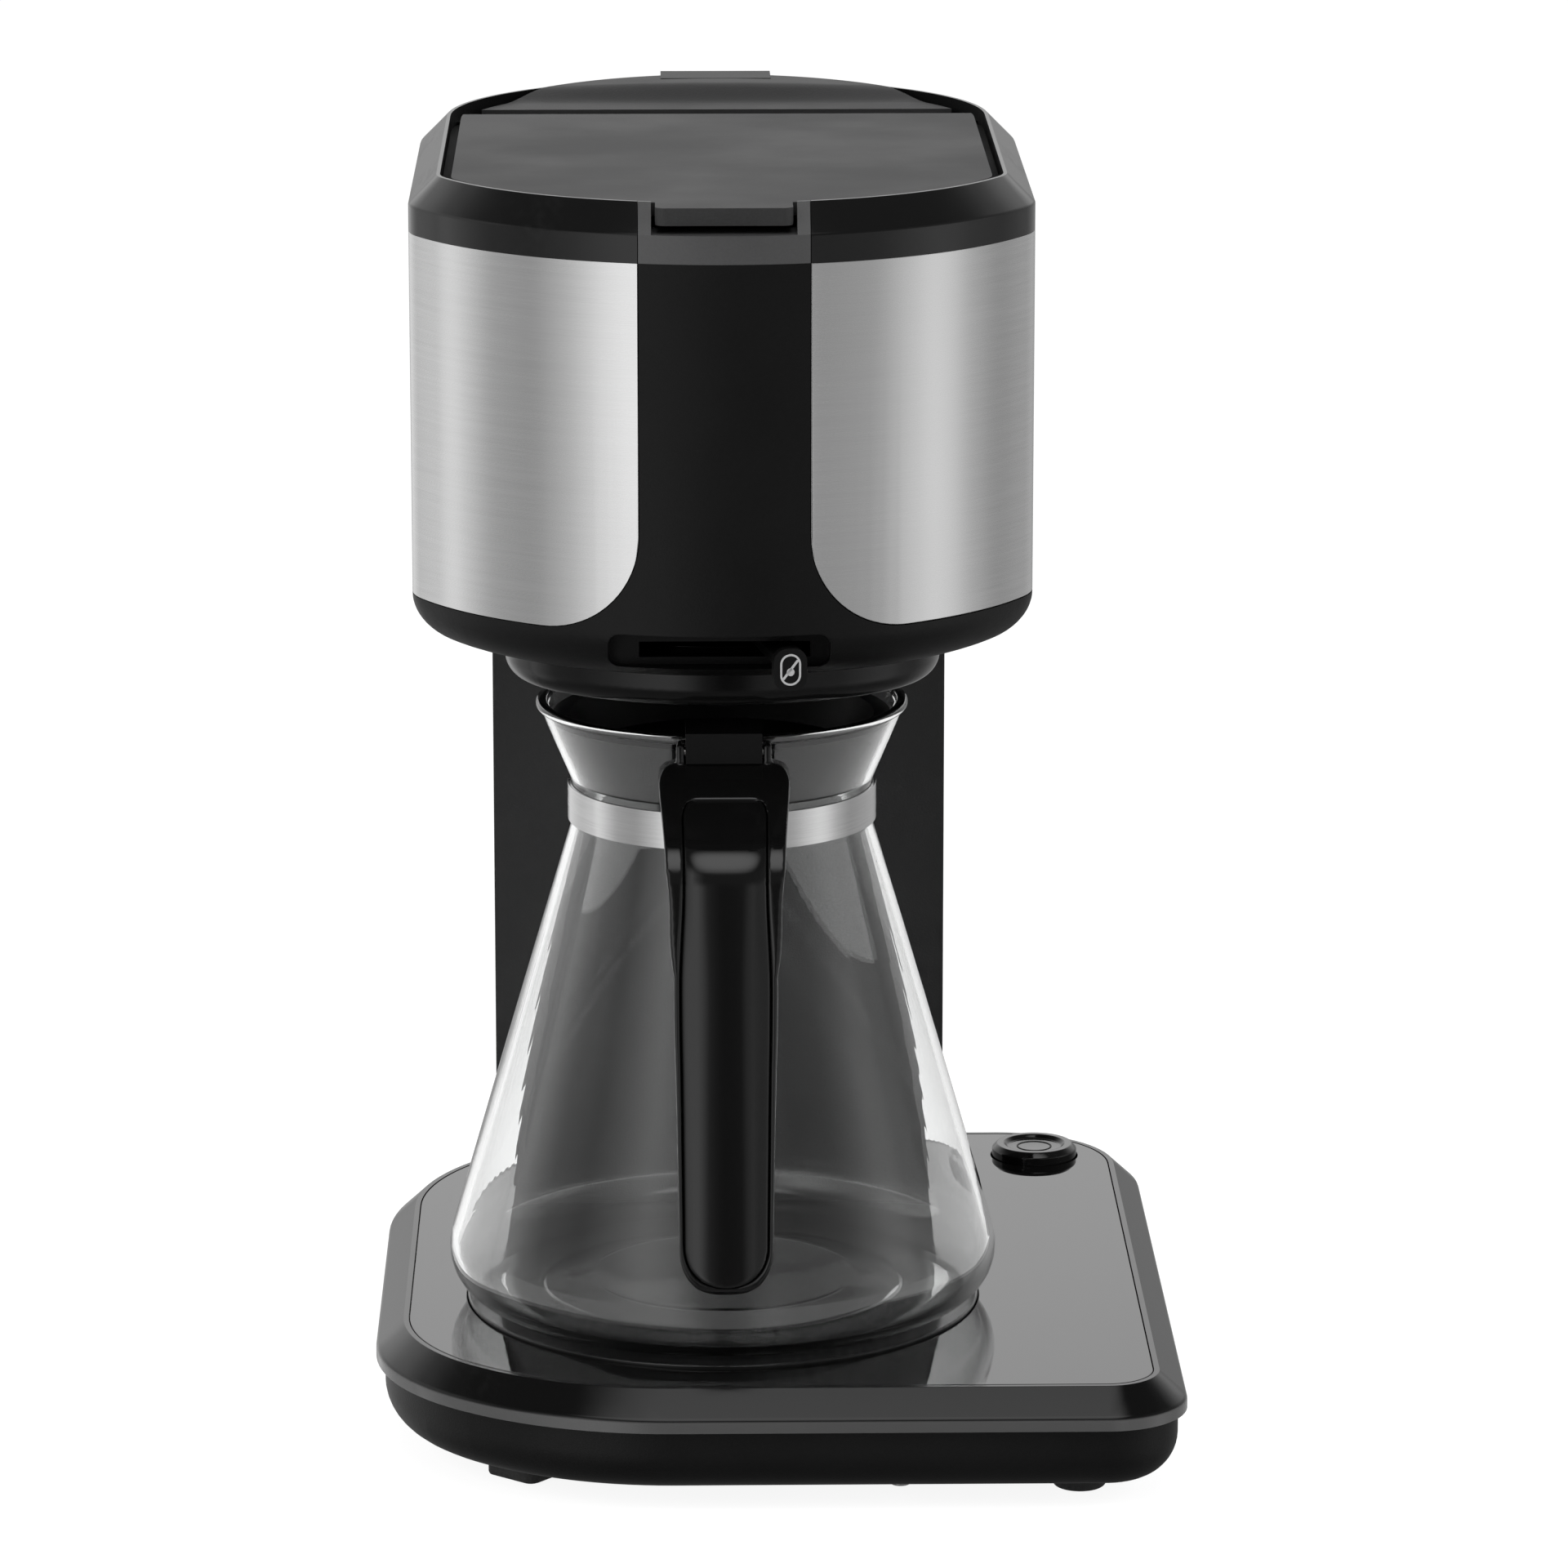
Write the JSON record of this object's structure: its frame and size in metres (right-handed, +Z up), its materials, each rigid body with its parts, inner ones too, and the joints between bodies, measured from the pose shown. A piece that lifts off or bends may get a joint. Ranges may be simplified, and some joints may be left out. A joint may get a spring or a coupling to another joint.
{
  "type": "drip coffee maker",
  "caption": "Drip coffee maker: heater base with a warming plate, half-round column, steel-sided brew head with hinged lids and a drip-stop lever, and a glass carafe.",
  "frame": {"origin": "middle of the base's outline, on the table under the feet", "axes": "+X to the machine's right seen from the front, +Y to the back, +Z up"},
  "size_m": [0.216, 0.257, 0.3484],
  "materials": {
    "matte_black": "matte",
    "satin_black": "satin",
    "gloss_black": "gloss",
    "charcoal": "matte",
    "deck_black": "mirror gloss",
    "steel": "brushed",
    "pin_steel": "polished",
    "clear_glass": "clear",
    "plate": "satin",
    "heater": "satin",
    "rubber": "matte",
    "silicone": "satin",
    "board": "satin",
    "tank": "satin",
    "inner_plastic": "satin"
  },
  "bodies": {
    "machine": {"base_tub": "matte_black", "tower_front": "matte_black", "tower_back": "matte_black", "head_shell": "matte_black", "cord_gland": "matte_black", "filter_holder": "matte_black", "base_collar": "satin_black", "top_collar": "satin_black", "front_bridge": "satin_black", "outlet_dish": "gloss_black", "deck_glass": "deck_black", "steel_panel_left": "steel", "steel_panel_right": "steel", "hinge_pins": "pin_steel", "base_screws": "pin_steel", "tower_screws": "pin_steel", "head_screws": "pin_steel", "hotplate": "plate", "heater_tube": "heater", "thermal_cutouts": "heater", "rubber_feet": "rubber", "front_left_foot": "rubber", "hotplate_seal": "rubber", "valve_seal": "rubber", "supply_hose": "silicone", "riser_hose": "silicone", "control_board": "board", "water_tank": "tank", "check_valve": "inner_plastic", "brew_spout": "inner_plastic"},
    "filter_lid": {"filter_lid": "charcoal", "spray_head": "inner_plastic"},
    "tank_lid": {"tank_lid": "charcoal"},
    "power_button": {"power_button": "gloss_black"},
    "drip_lever": {"drip_lever": "matte_black"},
    "carafe": {"carafe_glass": "clear_glass", "carafe_band": "steel", "carafe_handle": "gloss_black", "handle_grip": "gloss_black", "carafe_lid": "matte_black", "lid_hinge_pin": "pin_steel", "band_screw": "pin_steel"}
  },
  "joints": [
    {"name": "filter_lid_hinge", "type": "hinge", "parent": "machine", "child": "filter_lid", "pos_m": [-0.014, 0.0519, 0.3401], "axis": [-1, 0, 0], "range_deg": [0, 85]},
    {"name": "tank_lid_hinge", "type": "hinge", "parent": "machine", "child": "tank_lid", "pos_m": [-0.014, 0.0649, 0.3401], "axis": [1, 0, 0], "range_deg": [0, 80]},
    {"name": "power_button_press", "type": "slide", "parent": "machine", "child": "power_button", "axis": [0, 0, -1], "range_m": [0, 0.0015], "stiffness_N_per_m": 800, "springref_m": -0.001},
    {"name": "drip_lever_swing", "type": "hinge", "parent": "machine", "child": "drip_lever", "pos_m": [-0.014, -0.0355, 0.22995], "axis": [0, 0, 1], "range_deg": [-20.8, 0]},
    {"name": "carafe_slide", "type": "slide", "parent": "machine", "child": "carafe", "axis": [0, -1, 0], "range_m": [0, 0.2]}
  ]
}
